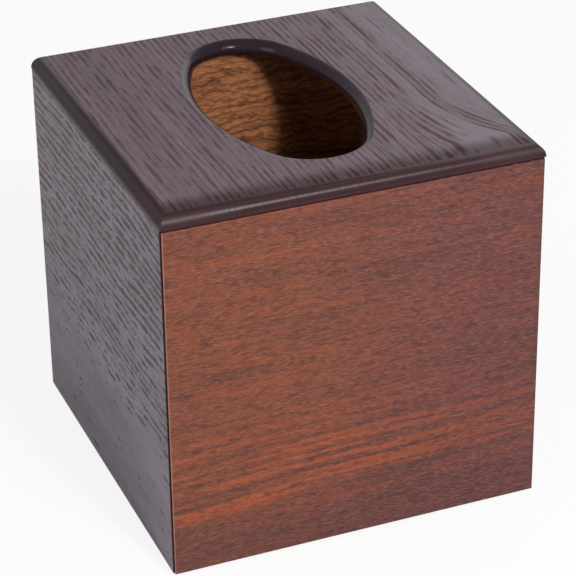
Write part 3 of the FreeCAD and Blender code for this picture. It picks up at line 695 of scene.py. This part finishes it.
# The oval is laid out with four arcs: two ends, and two long sides whose radius follows from them.
def ovalPoints(width, length, endRadius, middle, count):
    run = length / 2 - endRadius
    half = width / 2
    sideRadius = (half ** 2 + run ** 2 - endRadius ** 2) / (2 * (half - endRadius))
    shift = sideRadius - half
    join = math.atan2(run, shift)
    arcs = [
        (-shift, 0.0, sideRadius, -join, join),
        (0.0, run, endRadius, join, math.pi - join),
        (shift, 0.0, sideRadius, math.pi - join, math.pi + join),
        (0.0, -run, endRadius, math.pi + join, 2 * math.pi - join),
    ]
    points = []
    for across, along, radius, start, stop in arcs:
        for index in range(count):
            angle = start + (stop - start) * index / count
            points.append((across + radius * math.cos(angle), middle + along + radius * math.sin(angle)))
    return points


def makeTopBoard():
    low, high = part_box("top_panel")
    size = [high[axis] - low[axis] for axis in range(3)]
    middle = [(high[axis] + low[axis]) / 2 for axis in range(3)]
    bpy.ops.mesh.primitive_cube_add(size=1, location=middle)
    board = bpy.context.object
    board.name = "topBoard"
    board.scale = size
    bpy.ops.object.transform_apply(location=True, rotation=True, scale=True)

    # An oval prism cuts the mouth.
    outline = ovalPoints(topBoard["mouthWidth"], topBoard["mouthLength"], topBoard["mouthEndRadius"],
                         topBoard["mouthSetback"], topBoard["mouthArcSteps"])
    bpy.ops.mesh.primitive_circle_add(vertices=len(outline), radius=1, fill_type="NGON")
    cutter = bpy.context.object
    for vertex, (across, along) in zip(cutter.data.vertices, outline):
        vertex.co = (across, along, low[2] + topBoard["cutterFrom"])
    bpy.ops.object.mode_set(mode="EDIT")
    bpy.ops.mesh.select_all(action="SELECT")
    bpy.ops.mesh.extrude_region_move(TRANSFORM_OT_translate={"value": (0, 0, topBoard["cutterHeight"])})
    bpy.ops.mesh.select_all(action="SELECT")
    bpy.ops.mesh.normals_make_consistent(inside=False)
    bpy.ops.object.mode_set(mode="OBJECT")
    bpy.ops.object.select_all(action="DESELECT")
    board.select_set(True)
    bpy.context.view_layer.objects.active = board
    hole = board.modifiers.new("mouth", "BOOLEAN")
    hole.object = cutter
    hole.operation = "DIFFERENCE"
    hole.solver = "EXACT"
    bpy.ops.object.modifier_apply(modifier="mouth")
    bpy.data.objects.remove(cutter)

    touching = topBoard["touching"]

    def inMouth(point):
        reachAcross = topBoard["mouthWidth"] / 2 + topBoard["mouthMargin"]
        reachAlong = topBoard["mouthLength"] / 2 + topBoard["mouthSetback"] + topBoard["mouthMargin"]
        return abs(point.x) < reachAcross and abs(point.y) < reachAlong

    def flatAt(level, first, second):
        return abs(first.z - level) < touching and abs(second.z - level) < touching

    def onRim(first, second):
        alongSide = abs(abs(first.x) - high[0]) < touching and abs(first.x - second.x) < touching
        alongEnd = abs(abs(first.y) - high[1]) < touching and abs(first.y - second.y) < touching
        return alongSide or alongEnd

    def onLip(first, second):
        near = (first - second).length < topBoard["longestLipEdge"]
        return inMouth(first) and inMouth(second) and near

    # The rim and the lip are rounded on top, and the lip's lower edge is eased.
    bpy.ops.object.mode_set(mode="EDIT")
    mesh = board.data
    selectEdges(mesh, lambda a, b: flatAt(high[2], a, b) and onRim(a, b))
    bpy.ops.mesh.bevel(offset=topBoard["round"], segments=topBoard["roundSteps"], profile=0.5)
    selectEdges(mesh, lambda a, b: flatAt(high[2], a, b) and onLip(a, b))
    bpy.ops.mesh.bevel(offset=topBoard["lipRound"], segments=topBoard["roundSteps"], profile=0.5)
    selectEdges(mesh, lambda a, b: flatAt(low[2], a, b) and onLip(a, b))
    bpy.ops.mesh.bevel(offset=topBoard["lipEase"], segments=topBoard["easeSteps"], profile=0.5)
    bpy.ops.mesh.select_all(action="SELECT")
    bpy.ops.mesh.remove_doubles(threshold=touching)
    bpy.ops.object.mode_set(mode="OBJECT")
    bpy.ops.object.shade_smooth_by_angle(angle=math.radians(topBoard["smoothAngle"]))
    weighted = board.modifiers.new("flatFaces", "WEIGHTED_NORMAL")
    weighted.keep_sharp = True
    weighted.weight = topBoard["flatWeight"]
    bpy.ops.object.modifier_apply(modifier="flatFaces")

    # The front round has a material of its own.
    board.data.materials.clear()
    board.data.materials.append(topWood)
    board.data.materials.append(frontRoundWood)
    for face in board.data.polygons:
        onFront = face.center.y < low[1] + topBoard["round"] and face.center.z > low[2]
        facing = face.normal.y < topBoard["facingFront"] and abs(face.normal.y) > abs(face.normal.x)
        if onFront and facing:
            face.material_index = 1
    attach(board, "cover")
    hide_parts("top_panel")
    print("top board", len(board.data.vertices), "vertices")


makeTopBoard()


# Floor and light

floorPlan = {
    "size": 12.0,
    "colour": "#f2f0ee",
    "whiteShare": 0.86,  # of what the camera sees of the floor; the rest shows the object's shadow
}


def makeFloor():
    bpy.ops.mesh.primitive_plane_add(size=floorPlan["size"], location=(0, 0, 0))
    floor = bpy.context.object
    floor.name = "studioFloor"
    material, tree = newMaterial("paleStudioPaper")
    path = addNode(tree, "ShaderNodeLightPath", {}, {})
    paper = addNode(tree, "ShaderNodeBsdfDiffuse", {}, {"Color": floorPlan["colour"]})
    glow = addNode(tree, "ShaderNodeEmission", {}, {"Color": "#ffffff", "Strength": 1.0})
    seen = addNode(tree, "ShaderNodeMath", {"operation": "MULTIPLY"}, {
        0: path.outputs["Is Camera Ray"], 1: floorPlan["whiteShare"]})
    mix = addNode(tree, "ShaderNodeMixShader", {}, {0: seen, 1: paper, 2: glow})
    addNode(tree, "ShaderNodeOutputMaterial", {}, {"Surface": mix})
    floor.data.materials.append(material)


# The world is white where it is seen, also in gloss and through glass, and dimmer as a light.

studioWorld = {"colour": "#ffffff", "asLight": 0.26, "seen": 1.0}


def makeWorld():
    world = bpy.data.worlds.new("studioWorld")
    world.use_nodes = True
    tree = world.node_tree
    tree.nodes.clear()
    path = addNode(tree, "ShaderNodeLightPath", {}, {})
    seen = addNode(tree, "ShaderNodeMath", {"operation": "ADD"}, {
        0: path.outputs["Is Camera Ray"], 1: path.outputs["Is Glossy Ray"]})
    seen = addNode(tree, "ShaderNodeMath", {"operation": "ADD", "use_clamp": True}, {
        0: seen, 1: path.outputs["Is Transmission Ray"]})
    strength = addNode(tree, "ShaderNodeMapRange", {}, {
        "Value": seen, "To Min": studioWorld["asLight"], "To Max": studioWorld["seen"]})
    background = addNode(tree, "ShaderNodeBackground", {}, {
        "Color": studioWorld["colour"], "Strength": strength})
    addNode(tree, "ShaderNodeOutputWorld", {}, {"Surface": background})
    scene.world = world


# Each lamp stands at a place, looks at a point, and is as wide and tall as given, in metres and watts.
# The small lamp beside the key light gives the rounds their bright line and the mouth's lip its spot.

lamps = {
    "keySoftbox": {
        "place": (0.27, -1.15, 1.02),
        "aim": (0.0, 0.0, 0.12),
        "size": (0.66, 0.5),
        "power": 6.2,
    },
    "sparkLamp": {
        "place": (0.16, -1.16, 1.02),
        "aim": (0.0, 0.0, 0.12),
        "size": (0.16, 0.16),
        "power": 12.5,
    },
    "leftSoftbox": {
        "place": (-1.5, -0.2, 0.7),
        "aim": (0.0, 0.0, 0.1),
        "size": (0.9, 0.9),
        "power": 10.0,
    },
    "backSoftbox": {
        "place": (0.95, 1.2, 0.95),
        "aim": (0.0, 0.0, 0.1),
        "size": (0.9, 0.9),
        "power": 4.0,
    },
}


def makeLamp(name, plan):
    bpy.ops.object.light_add(type="AREA", location=plan["place"])
    lamp = bpy.context.object
    lamp.name = name
    aim = Vector(plan["aim"]) - Vector(plan["place"])
    lamp.rotation_euler = aim.to_track_quat("-Z", "Y").to_euler()
    lamp.data.shape = "RECTANGLE"
    lamp.data.size, lamp.data.size_y = plan["size"]
    lamp.data.energy = plan["power"]


makeFloor()
makeWorld()
for lampName, lampPlan in lamps.items():
    makeLamp(lampName, lampPlan)
scene.view_settings.view_transform = "Standard"
print("floor and light set")
